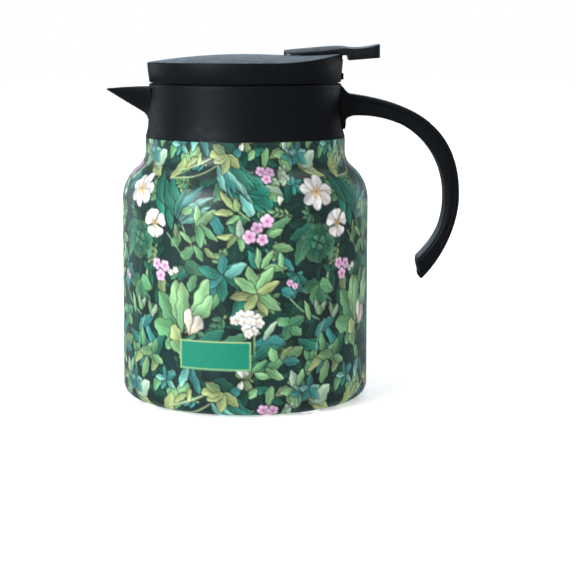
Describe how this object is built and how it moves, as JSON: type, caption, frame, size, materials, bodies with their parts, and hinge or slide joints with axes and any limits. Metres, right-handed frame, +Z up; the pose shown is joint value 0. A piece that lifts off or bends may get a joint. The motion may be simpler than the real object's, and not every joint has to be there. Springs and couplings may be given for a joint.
{
  "type": "vacuum insulated tea jug",
  "caption": "Double-wall steel jug with moulded spout collar, open C handle, twist-in lid, thumb lever valve and hanging tea basket.",
  "frame": {"origin": "centre of the foot pad's flat underside, on the jug's upright axis", "axes": "+Z up along the jug's axis, spout along -X, handle along +X"},
  "size_m": [0.1703, 0.119, 0.1701],
  "materials": {
    "printed_steel": "satin coat over a botanical transfer print",
    "bare_steel": "brushed",
    "black_plastic": "fine matte grain",
    "silicone": "translucent white, matte",
    "pad_rubber": "matte",
    "seal_glass": "fused, dull"
  },
  "bodies": {
    "jug": {"outer_shell": "printed_steel", "inner_liner": "bare_steel", "base_plate": "bare_steel", "vacuum_seal": "seal_glass", "getter": "bare_steel", "base_pad": "pad_rubber", "neck_gasket": "silicone", "collar": "black_plastic", "handle_arm": "black_plastic", "handle_cover": "black_plastic"},
    "lid_seal": {"lid_gasket": "silicone"},
    "lid": {"lid_body": "black_plastic", "lid_cover": "black_plastic", "lever_pin": "bare_steel", "stem_seal": "silicone", "seal_cap": "black_plastic", "valve_spring": "bare_steel"},
    "lever": {"lever": "black_plastic"},
    "valve": {"valve_stem": "bare_steel", "stem_head": "black_plastic", "valve_plug": "silicone", "plug_washer": "bare_steel"},
    "infuser": {"infuser_rim": "black_plastic", "infuser_basket": "bare_steel"}
  },
  "joints": [
    {"name": "lid_lift", "type": "slide", "parent": "jug", "child": "lid_seal", "axis": [0, 0, 1], "range_m": [0, 0.11]},
    {"name": "lid_turn", "type": "hinge", "parent": "lid_seal", "child": "lid", "pos_m": [0, 0, 0.15], "axis": [0, 0, 1], "range_deg": [0, 90]},
    {"name": "lever_press", "type": "hinge", "parent": "lid", "child": "lever", "pos_m": [0.043, 0, 0.161], "axis": [0, 1, 0], "range_deg": [0, 8], "stiffness_Nm_per_rad": 0.3, "springref_deg": -11.46},
    {"name": "valve_lift", "type": "slide", "parent": "lid", "child": "valve", "axis": [0, 0, 1], "range_m": [0, 0.0062], "deforming": ["valve_spring"]},
    {"name": "infuser_release", "type": "slide", "parent": "lid", "child": "infuser", "axis": [0, 0, -1], "range_m": [0, 0.03]}
  ],
  "couplings": [
    {"joint": "valve_lift", "follows": "lever_press", "m_per_rad": 0.04344}
  ]
}
